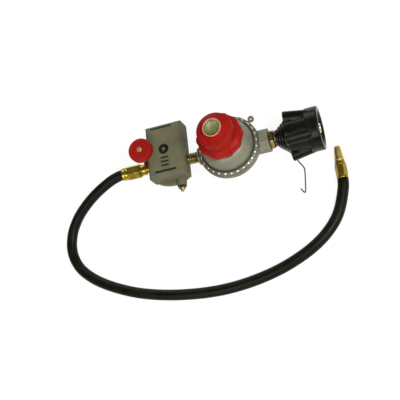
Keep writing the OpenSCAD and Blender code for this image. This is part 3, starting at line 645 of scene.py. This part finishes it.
def make_nut(finish):
    """The hand nut: a stepped neck, the lobed grip, a collar, and a thread in its mouth."""
    neck = [(STEM_BORE, NECK_FROM, 0)]
    step = (GRIP_FROM - NECK_FROM) / NECK_STEPS
    for i in range(NECK_STEPS):
        r = NECK_RADIUS + NECK_GROWTH * i
        x = NECK_FROM + i * step
        neck += [(r - 0.5, x, 0.3), (r, x + 0.5, 0.4), (r + 0.2, x + step - 1.3, 0.5),
                 (r - 0.9, x + step - 0.8, 0.3), (r - 0.9, x + step, 0.1)]
    neck += [(20.5, 70.98, 0.2), (WEB_RADIUS - 1.0, GRIP_FROM, 0)]
    grip = [(WEB_RADIUS - 0.7, 71.15), (WEB_RADIUS - 0.25, 71.5), (WEB_RADIUS, 72.2)]
    grip += [(WEB_RADIUS, 72.5 + 0.95 * k) for k in range(23)]
    grip += [(WEB_RADIUS, 94.2), (WEB_RADIUS, 94.9), (WEB_RADIUS, 95.29)]
    collar = [(WEB_RADIUS, GRIP_TO, 0), (25.9, 95.31, 0.1), (COLLAR_RADIUS, 95.7, 0.2)]
    collar += [(COLLAR_RADIUS, 96.5 + 0.8 * k, 0) for k in range(9)]
    collar += [(COLLAR_RADIUS, 109.0, 1.0), (25.2, NUT_END, 0.8), (20.9, NUT_END, 0.7), (16.6, 105.2, 0.5)]
    for i in range(THREAD_TURNS):
        x = THREAD_FROM - THREAD_PITCH * i
        collar += [(THREAD_TOP, x + 0.4, 0.3), (THREAD_DEEP, x - 0.6, 0.3),
                   (THREAD_DEEP, x - 1.9, 0.3), (THREAD_TOP, x - 2.9, 0.3)]
    collar += [(THREAD_TOP, MOUTH_FLOOR, 0.3), (STEM_BORE, MOUTH_FLOOR, 0.3), (STEM_BORE, 57.3, 0)]
    whole = round_corners(neck) + grip + round_corners(collar)
    nut = turned_piece("hand_nut", whole, on_gas_line(0), "x", finish["nut_black"], 300, nut_grow,
                       sharp=42.0)
    stands_for(nut, "coupling_nut", "coupling_nut")


def make_nose_seal(finish):
    """The rubber washer on the nipple's nose."""
    outline = round_corners([
        (5.92, 80.05, 0), (9.0, 80.05, 0.3), (9.4, 80.5, 0.4), (9.4, 81.8, 0.4), (9.0, 82.25, 0.3),
        (5.92, 82.25, 0)])
    seal = turned_piece("nose_washer", outline, on_gas_line(0), "x", finish["rubber_black"], 64)
    stands_for(seal, "regulator", "nose_seal")


# Regulator

STAKES = 28
STAKE_LEVEL = 12.35
STAKE_RING = 0.0351
STAKE_SIZE = (0.0014, 0.00185, 0.0008, 1.0)
STAKE_LEAN = math.radians(28)

CAP_LOBES = 10
CAP_LOBE_HEIGHT = 1.2
SKIRT_INSIDE = 24.2
SKIRT_OUTSIDE = 26.2
SKIRT_FADE_FROM = 46.0
SKIRT_FADE_TO = 49.4


def make_bonnet(finish):
    """The domed casting, with the channel for the stakes around its flange."""
    outline = round_corners([
        (26.5, 9.25, 0), (37.2, 9.25, 0.4), (37.6, 9.8, 0.4), (37.5, 11.1, 0.7), (33.7, 13.1, 0.5),
        (33.1, 12.9, 0.3), (32.9, 11.6, 0.3), (31.9, 11.6, 0.4), (31.7, 14.4, 0.8), (31.2, 19, 2),
        (30.4, 24.8, 3), (28.2, 30.2, 3), (24.2, 33.7, 3), (19.9, 34.6, 0.6), (19.6, 41.6, 0.6),
        (14.2, 42.4, 0.6), (14, 46.6, 0.6), (8.65, 47, 0), (8.65, 38.6, 0), (17, 38.4, 0),
        (17, 30, 0), (26.4, 23, 0), (26.5, 9.3, 0)])
    bonnet = turned_piece("bonnet_dome", outline, on_gas_line(0), "z", finish["casting_dome"], 144)
    stands_for(bonnet, "regulator", "bonnet")


def make_stakes(finish):
    """Bright staked dots around the flange."""
    bm = bmesh.new()
    middle = Matrix.Translation(on_gas_line(0, 0, STAKE_LEVEL))
    out = Matrix.Translation((STAKE_RING, 0, 0))
    lean = Matrix.Rotation(STAKE_LEAN, 4, "Y")
    size = Matrix.Diagonal(STAKE_SIZE)
    for k in range(STAKES):
        turn = Matrix.Rotation(2 * math.pi * k / STAKES, 4, "Z")
        place = middle @ turn @ out @ lean @ size
        bmesh.ops.create_uvsphere(bm, u_segments=20, v_segments=12, radius=1.0, matrix=place)
    stakes = add_piece("flange_stakes", bm, finish["stake_bright"], 80.0)
    stands_for(stakes, "regulator", "flange_rivets")


def cap_grow(angle, r, a):
    """Rounded grip lobes on the skirt, fading out towards the dome."""
    if r < SKIRT_INSIDE:
        return r
    wave = 0.5 + 0.5 * math.cos(CAP_LOBES * angle)
    rise = CAP_LOBE_HEIGHT * ease(wave, 0.15, 0.9)
    fade = 1 - ease(a, SKIRT_FADE_FROM, SKIRT_FADE_TO)
    return r + rise * fade * ease(r, SKIRT_INSIDE, SKIRT_OUTSIDE)


def make_cap(finish):
    """The red cap, the lip of its bore painted pale as a highlight, and the thin collar of the screw in
    it.
    """
    bell = turned_piece("adjusting_cap_bell", round_corners([
        (8.65, 64.6, 0), (8.65, 71.4, 0), (9.1, 72.0, 0.3), (10.7, 72.0, 0.5), (11.4, 71.2, 0.7),
        (12.0, 68.2, 0.8), (12.8, 67.4, 0.7), (18.4, 65.7, 1.5), (21.1, 64.4, 2.6), (21.2, 58, 0),
        (21.3, 52.2, 1.2), (22.0, 50.4, 0.8), (23.6, 49.7, 0.8), (25.7, 48.6, 1.2), (26.5, 46.4, 1.2),
        (26.5, 44, 0), (26.5, 42, 0), (26.5, 40, 0.6), (26.0, 39, 0.5), (24.4, 39, 0.3),
        (24.0, 40, 0.3), (24.0, 46, 0.5), (18.8, 49, 0.5), (18.8, 61, 1.0), (15.2, 64.6, 1.0),
        (8.7, 64.6, 0)]),
        on_gas_line(0), "z", finish["cap_red"], 192, cap_grow)
    stands_for(bell, "adjusting_cap", "adjusting_cap")
    # The lip of the bore is painted pale as a highlight
    lip = turned_piece("cap_bore_lip", round_corners([
        (9.9, 71.6, 0), (10.0, 72.05, 0.2), (10.2, 72.12, 0.2), (10.6, 72.12, 0.2), (11.0, 71.8, 0.2),
        (10.5, 71.2, 0)]),
        on_gas_line(0), "z", finish["cap_rim_highlight"])
    rides_on(lip, "adjusting_cap")
    collar = turned_piece("screw_collar", round_corners([
        (8.7, 71.4, 0), (8.75, 72.06, 0.1), (9.8, 72.06, 0.05), (9.85, 71.95, 0), (9.1, 71.9, 0)]),
        on_gas_line(0), "z", finish["zinc_dull"])
    rides_on(collar, "adjusting_cap")


def make_diaphragm(finish):
    """A clamped rim with a rolled upstand, and the flat middle that rides on the pressure plate."""
    rim = turned_piece("diaphragm_rim", round_corners([
        (21.6, 8.05, 0), (36.8, 8.05, 0.2), (37.1, 8.6, 0.3), (36.8, 9.15, 0.2), (23.0, 9.15, 0.6),
        (22.4, 9.8, 0.5), (22.4, 11.2, 0.3), (21.6, 11.2, 0.3), (21.6, 8.1, 0)]),
        on_gas_line(0), "z", finish["rubber_black"])
    stands_for(rim, "regulator", "diaphragm")
    disc = turned_piece("diaphragm_disc", round_corners([
        (3.1, 8.05, 0), (20.8, 8.05, 0.3), (21.3, 8.6, 0.3), (20.8, 9.15, 0.3), (3.1, 9.15, 0)]),
        on_gas_line(0), "z", finish["rubber_black"])
    rides_on(disc, "diaphragm_plate")


def make_valve_seals(finish):
    """The rubber pads of the metering seat and of the shut-off plunger."""
    pad = turned_piece("seat_rubber", round_corners([
        (0.001, 17.22, 0), (3.0, 17.22, 0.1), (3.0, 18.7, 0.3), (0.001, 18.7, 0)]),
        on_gas_line(0), "x", finish["rubber_black"], 40, closed=False)
    stands_for(pad, "seat_carrier", "seat_pad")
    tip = turned_piece("plunger_rubber", round_corners([
        (0.001, -6.18, 0), (3.6, -6.18, 0.1), (3.6, -4.3, 0.4), (0.001, -4.3, 0)]),
        on_gas_line(*COIL_SPOT), "z", finish["rubber_black"], 40, closed=False)
    stands_for(tip, "plunger", "plunger_seal")


# Timer box

MARK_LEVEL = 19.8
MARK_DEPTH = 0.5
MARK_ROUNDING = 0.0001

# Middle, length and width of each dark bar on the front, in millimetres
MARKS = [
    (-78, 1.5, 9.8, 2.0),
    (-78, -3.5, 9.8, 2.0),
    (-78, -8.5, 9.8, 2.0),
    (-78, -15.5, 26.8, 2.4),
    (-79, 41.2, 28.0, 2.0),
]

SEAMS = 3
SEAM_RADIUS = 0.00035
SEAM_LOWEST = 0.8
SEAM_APART = 3.4
SEAM_STEP = 2.5
COVER_SIDE = -53.98
COVER_FOOT = -22.02


def make_button(finish):
    """The reset button, and the grey dot in it that is a painted highlight in its dish."""
    spot = on_gas_line(*BUTTON_SPOT)
    button = turned_piece("reset_cap", round_corners([
        (0.001, 15.8, 0), (7.4, 15.8, 0.3), (7.4, 17.2, 0.3), (6.2, 17.2, 0), (6.2, 20.5, 0.5),
        (5.6, 21.2, 0.7), (4.2, 21.2, 0.6), (2.7, 20.5, 0.5), (0.001, 20.4, 0)]),
        spot, "z", finish["button_black"], 64)
    stands_for(button, "reset_button", "reset_button")
    # Grey dot painted as the highlight of the button's dish
    dot = turned_piece("reset_dot", round_corners([
        (0.001, 20.35, 0), (2.2, 20.35, 0), (2.2, 20.65, 0.2), (1.7, 20.9, 0.3), (0.001, 21.0, 0)]),
        spot, "z", finish["button_dot_highlight"], 40)
    rides_on(dot, "reset_button")


def add_bar(bm, x, y, length, width):
    """One rounded dark bar, lying in its recess in the front face."""
    made = bmesh.ops.create_cube(bm, size=1.0)
    middle = on_gas_line(x, y, MARK_LEVEL)
    for v in made["verts"]:
        v.co = middle + Vector((v.co.x * length, v.co.y * width, v.co.z * MARK_DEPTH)) * MM
    edges = [e for e in bm.edges if e.verts[0] in made["verts"]]
    bmesh.ops.bevel(bm, geom=edges, offset=MARK_ROUNDING, segments=2, affect="EDGES")


def make_front_marks(finish):
    bm = bmesh.new()
    for mark in MARKS:
        add_bar(bm, *mark)
    bars = add_piece("front_bars", bm, finish["mark_dark"])
    rides_on(bars, "regulator")


def make_case_seams(finish):
    """Fine moulded ridges that turn round the lower right corner of the cover."""
    for k in range(SEAMS):
        z = SEAM_LOWEST + SEAM_APART * k
        corner = [(COVER_SIDE, -9.5 - SEAM_STEP * j, z) for j in range(5)]
        corner += [(-54.1, -21.3, z), (-54.6, -21.9, z), (-55.4, COVER_FOOT, z)]
        corner += [(-57.5 - SEAM_STEP * j, COVER_FOOT, z) for j in range(3)]
        route = [on_gas_line(*p) for p in corner]
        seam = wire_piece("case_seam_%d" % k, route, SEAM_RADIUS, finish["box_grey"])
        rides_on(seam, "regulator")


def make_plug_boss(finish):
    """The moulded collar on the housing that the test plug screws out of."""
    outline = round_corners([
        (5.35, -19, 0), (6.4, -19, 0), (6.3, -26, 0.6), (6.0, -30.2, 0.7), (5.35, -30.2, 0.2)])
    boss = turned_piece("plug_boss", outline, on_gas_line(*PLUG_SPOT), "y", finish["box_grey"], 48)
    rides_on(boss, "regulator")


# Needle valve

def make_knob(finish):
    """The red knob, hollow from below, with a raised rim."""
    outline = round_corners([
        (2.52, 21.0, 0), (5.0, 21.0, 0.3), (5.0, 24.5, 0.3), (12.0, 24.5, 0.3), (12.1, 21.0, 0.3),
        (14.3, 21.0, 0.4), (15.0, 21.7, 0.5), (15.0, 28.0, 1.6), (13.6, 30.0, 1.4), (12.2, 30.0, 0.5),
        (11.4, 29.35, 0.4), (6.4, 29.3, 0.5), (4.4, 29.35, 0.4), (4.0, 28.42, 0.2), (2.52, 28.42, 0)])
    knob = turned_piece("flow_knob", outline, on_gas_line(*KNOB_SPOT), "z", finish["knob_red"])
    stands_for(knob, "needle_knob", "needle_knob")


# Threads and brass ends

NIPPLE_RADIUS = 6.84

HEX_HALF = 6.0
HEX_FROM = 3.3
HEX_TO = 16.8


def ridged(r, depth, start, end, pitch):
    """Corners of a row of thread ridges between two stations."""
    out = []
    a = start
    while a + pitch <= end + 1e-6:
        out += [(r - depth, a, 0.1), (r, a + pitch * 0.4, 0.15), (r, a + pitch * 0.6, 0.15),
                (r - depth, a + pitch, 0.1)]
        a += pitch
    return out


def make_outlet_nipple(finish):
    """The pipe nipple between the regulator and the box, ridged where it shows."""
    outline = [(4, -69.9, 0), (NIPPLE_RADIUS, -69.9, 0), (NIPPLE_RADIUS, -54.2, 0)]
    outline += ridged(6.85, 0.8, -54.0, -40.2, 2.3)
    outline += [(NIPPLE_RADIUS, -40.2, 0), (NIPPLE_RADIUS, -30.1, 0), (4, -30.1, 0)]
    nipple = turned_piece("outlet_nipple_threaded", round_corners(outline, 2), on_gas_line(0), "x",
                          finish["brass_dark"], 64)
    stands_for(nipple, "regulator", "outlet_nipple")


def hex_grow(angle, r, a):
    """Six flats on the ferrule between its round collars."""
    if a < HEX_FROM or a > HEX_TO:
        return r
    sixth = math.pi / 3
    off = (angle + sixth / 2) % sixth - sixth / 2
    return min(r, HEX_HALF / math.cos(off))


def make_end_fitting(finish):
    """The hexagon ferrule and the tapered spud on the hose's free end."""
    tip = Vector(HOSE_ROUTE[-1])
    ferrule = turned_piece("end_hex", round_corners([
        (4.0, 0.02, 0), (6.3, 0.02, 0.3), (6.7, 0.6, 0.4), (6.7, 2.4, 0.3), (6.2, 2.9, 0.2),
        (6.2, 3.25, 0), (6.5, 3.35, 0), (6.92, 4.2, 0.2), (6.92, 10, 0), (6.92, 15.9, 0.2),
        (6.5, 16.75, 0), (6.2, 16.85, 0), (6.5, 17.2, 0.2), (6.6, 18.0, 0.3), (6.3, 18.9, 0.3),
        (5.5, 19.6, 0.3), (5.5, 20.6, 0.2), (5.9, 21.0, 0.2), (5.9, 21.98, 0), (4.0, 21.98, 0)], 3),
        tip, "y", finish["brass_olive"], 72, hex_grow, sharp=24.0)
    stands_for(ferrule, "regulator", "end_ferrule")
    spud = turned_piece("end_spud", round_corners([
        (1.6, 22.02, 0), (5.5, 22.02, 0.2), (5.75, 22.6, 0.4), (5.6, 25.0, 1.0), (4.9, 32.0, 2.0),
        (3.9, 38.6, 1.5), (3.2, 40.6, 0.6), (1.8, 40.95, 0.2), (1.6, 40.4, 0)], 4),
        tip, "y", finish["brass_y"], 64)
    stands_for(spud, "regulator", "end_fitting")
    return [spud, ferrule]


# Hook and springs

HOOK_WIRE = 0.00082
HOOK_LOW = -30.68
EYE_STATION = 55.5
EYE_RADIUS = 8.6
EYE_POINTS = 18
EYE_START = 226
EYE_STEP = 19

MAIN_FOOT = 11.4
MAIN_MIDDLE = 21.15
MAIN_RADIUS = 12
MAIN_WIRE = 1.2
MAIN_HALF = 10.95

SPRING_STEPS = 24
SPRING_SIDES = 10
FLOW_FOOT = on_gas_line(80.2)
BUTTON_FOOT = on_gas_line(*BUTTON_SPOT, 11.3)
PLUNGER_FOOT = on_gas_line(*COIL_SPOT, -28.9)


def make_hook(finish):
    """The hanger wire: an eye around the nipple, an arm down to the ground and a hook."""
    points = []
    for k in range(EYE_POINTS):
        angle = math.radians(EYE_START - EYE_STEP * k)
        y = EYE_RADIUS * math.cos(angle)
        z = EYE_RADIUS * math.sin(angle)
        points.append(on_gas_line(EYE_STATION, y, z))
    arm = [(EYE_STATION, -3.2, -9.6), (55.6, -4.7, -11.8), (56.8, -5.8, -14.2), (60, -7.4, -18.4),
           (66, -11, -25.5), (69, -14.5, -30)]
    lying = [(70.6, -17.5), (73.4, -23.4), (77.6, -30.5), (78.6, -34.5), (75.7, -60.2),
             (74.7, -62.7), (73.3, -61.4), (70.6, -57)]
    points += [on_gas_line(*p) for p in arm]
    points += [on_gas_line(*p, HOOK_LOW) for p in lying]
    hook = wire_piece("hanger_wire", points, HOOK_WIRE, finish["steel_wire"], 4)
    stands_for(hook, "wire_hook", "wire_hook")


def make_spring(name, foot, axis, radius, wire, length, turns, finish):
    """A helical spring as one tube, with the wire's ends cut square."""
    steps = turns * SPRING_STEPS
    rise = (length - 2 * wire) / steps
    bm = bmesh.new()
    rings = []
    for i in range(steps + 1):
        angle = 2 * math.pi * i / SPRING_STEPS
        ring = []
        for k in range(SPRING_SIDES):
            lean = 2 * math.pi * k / SPRING_SIDES
            reach = radius + wire * math.cos(lean)
            h = wire + rise * i + wire * math.sin(lean)
            c = reach * math.cos(angle)
            s = reach * math.sin(angle)
            local = (h, s, -c) if axis == "x" else (c, s, h)
            ring.append(bm.verts.new(foot + Vector(local) * MM))
        rings.append(ring)
    for low, high in zip(rings, rings[1:]):
        join_rings(bm, low, high)
    bm.faces.new(rings[0])
    bm.faces.new(rings[-1])
    spring = add_piece(name, bm, finish["steel_plain"], 60.0)
    return spring


def make_springs(finish):
    """The main spring as two halves that meet at mid height, and the three return springs."""
    foot = on_gas_line(0, 0, MAIN_FOOT)
    low = make_spring("main_coil_low", foot, "z",
                      MAIN_RADIUS, MAIN_WIRE, MAIN_HALF, 2, finish)
    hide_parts("main_spring")
    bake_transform(low)
    high = make_spring("main_coil_high", on_gas_line(0, 0, MAIN_MIDDLE - MAIN_WIRE), "z",
                       MAIN_RADIUS, MAIN_WIRE, MAIN_HALF, 2, finish)
    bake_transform(high)
    flow = make_spring("flow_coil", FLOW_FOOT, "x", 2.9, 0.4, 11.6, 5, finish)
    stands_for(flow, "regulator", "flow_spring")
    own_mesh(flow)
    button = make_spring("button_coil", BUTTON_FOOT, "z", 4.4, 0.35, 4.4, 3, finish)
    stands_for(button, "regulator", "button_spring")
    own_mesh(button)
    plunger = make_spring("plunger_coil", PLUNGER_FOOT, "z", 2.8, 0.35, 8.8, 3, finish)
    stands_for(plunger, "regulator", "plunger_spring")
    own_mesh(plunger)


# Finishes of the solids that stay; the outer ones get their edges rounded, in millimetres

ROUNDED = {
    "regulator_body": ("casting_grey", 0.5),
    "timer_cover": ("box_grey", 0.35),
    "rear_housing": ("box_grey", 0.3),
    "inlet_nipple": ("brass_warm", 0.25),
    "adjusting_screw": ("zinc_dull", 0.2),
    "needle_valve_body": ("brass_olive", 0.25),
    "packing_nut": ("brass_z", 0.25),
    "hose_nut": ("brass_x", 0.4),
    "hose_ferrule": ("brass_x", 0.2),
    "test_plug": ("plug_brass", 0.3),
    "cover_screws": ("steel_plain", 0.2),
    "battery_door": ("box_grey", 0.2),
    "knob_screw": ("brass_bright", 0.12),
}

PLAIN = {
    "thermal_bushing": "nut_black",
    "flow_poppet": "brass_tip_highlight",
    "poppet_retainer": "brass_tip_highlight",
    "diaphragm_plate": "steel_plain",
    "spring_button": "steel_plain",
    "valve_lever": "steel_plain",
    "lever_pin": "steel_plain",
    "seat_carrier": "brass_x",
    "inlet_orifice": "brass_x",
    "circuit_board": "board_green",
    "push_switch": "steel_plain",
    "buzzer": "button_black",
    "battery": "steel_plain",
    "battery_contacts": "brass_z",
    "valve_block": "brass_x",
    "plunger_tube": "brass_z",
    "coil_bobbin": "bobbin_pale",
    "coil_winding": "winding_copper",
    "plunger": "steel_plain",
    "needle_tip": "steel_plain",
    "needle_stem": "brass_z",
    "hose_insert": "brass_x",
}


def dress_solids(finish):
    for node, (name, edge) in ROUNDED.items():
        dress(node, finish[name], edge)
    for node, name in PLAIN.items():
        dress(node, finish[name])


# Stage and light

FLOOR_HALF = 40.0
FLOOR_LEVEL = -0.0003
FLOOR_TONE = (0.92, 0.92, 0.92, 1)
FLOOR_GLOW = 1.06
FLOOR_WHITE = 0.86
WORLD_TONE = (1, 0.985, 0.92, 1)
WORLD_STRENGTH = 0.14
LAMP_TONE = (1.0, 0.98, 0.90)
LAMP_AIM = Vector((0.02, -0.03, 0.03))

# Name, place, size and power of each lamp
LAMPS = [
    ("key_softbox", Vector((0.66, -0.36, 0.92)), 0.5, 12.0),
    ("front_softbox", Vector((-0.28, -0.92, 0.88)), 0.8, 7.8),
    ("rear_softbox", Vector((-0.28, 1.05, 0.60)), 0.75, 4.4),
]


def white_to_camera(tree, strength):
    """A factor that is strength for camera, mirror and see-through rays, and 0 for others."""
    rays = tree.nodes.new("ShaderNodeLightPath").outputs
    either = add_math(tree, "MAXIMUM", rays["Is Camera Ray"], rays["Is Glossy Ray"])
    either = add_math(tree, "MAXIMUM", either, rays["Is Transmission Ray"])
    return add_math(tree, "MULTIPLY", either, strength)


def make_floor():
    """A pale floor that takes shadows and looks white to the camera."""
    mesh = bpy.data.meshes.new("pale_floor")
    corners = [(-1, -1), (1, -1), (1, 1), (-1, 1)]
    mesh.from_pydata([(x * FLOOR_HALF, y * FLOOR_HALF, FLOOR_LEVEL) for x, y in corners],
                     [], [(0, 1, 2, 3)])
    floor = bpy.data.objects.new("pale_floor", mesh)
    scene.collection.objects.link(floor)
    material = bpy.data.materials.new("floor_white")
    material.use_nodes = True
    tree = material.node_tree
    tree.nodes.clear()
    diffuse = tree.nodes.new("ShaderNodeBsdfDiffuse")
    diffuse.inputs["Color"].default_value = FLOOR_TONE
    glow = tree.nodes.new("ShaderNodeEmission")
    glow.inputs["Color"].default_value = (1, 1, 1, 1)
    glow.inputs["Strength"].default_value = FLOOR_GLOW
    mix = tree.nodes.new("ShaderNodeMixShader")
    out = tree.nodes.new("ShaderNodeOutputMaterial")
    feed(tree, mix.inputs["Fac"], white_to_camera(tree, FLOOR_WHITE))
    feed(tree, mix.inputs[1], diffuse.outputs["BSDF"])
    feed(tree, mix.inputs[2], glow.outputs["Emission"])
    feed(tree, out.inputs["Surface"], mix.outputs["Shader"])
    mesh.materials.append(material)


def add_lamp(name, place, size, power):
    """A round soft lamp that points at the part."""
    data = bpy.data.lights.new(name, "AREA")
    data.shape = "DISK"
    data.size = size
    data.energy = power
    data.color = LAMP_TONE
    lamp = bpy.data.objects.new(name, data)
    scene.collection.objects.link(lamp)
    turn = (LAMP_AIM - place).to_track_quat("-Z", "Y").to_matrix().to_4x4()
    lamp.matrix_world = Matrix.Translation(place) @ turn


def light_scene():
    world = bpy.data.worlds.new("studio")
    scene.world = world
    world.use_nodes = True
    background = world.node_tree.nodes["Background"]
    background.inputs["Color"].default_value = WORLD_TONE
    background.inputs["Strength"].default_value = WORLD_STRENGTH
    for lamp in LAMPS:
        add_lamp(*lamp)
    scene.view_settings.view_transform = "Standard"


place_camera()
finishes = build_finishes()
hose = lay_hose(finishes)
end_pieces = make_end_fitting(finishes)
make_nut(finishes)
make_nose_seal(finishes)
make_bonnet(finishes)
make_stakes(finishes)
make_cap(finishes)
make_diaphragm(finishes)
make_valve_seals(finishes)
make_button(finishes)
make_front_marks(finishes)
make_case_seams(finishes)
make_plug_boss(finishes)
make_knob(finishes)
make_outlet_nipple(finishes)
make_hook(finishes)
make_springs(finishes)
dress_solids(finishes)
make_floor()
light_scene()
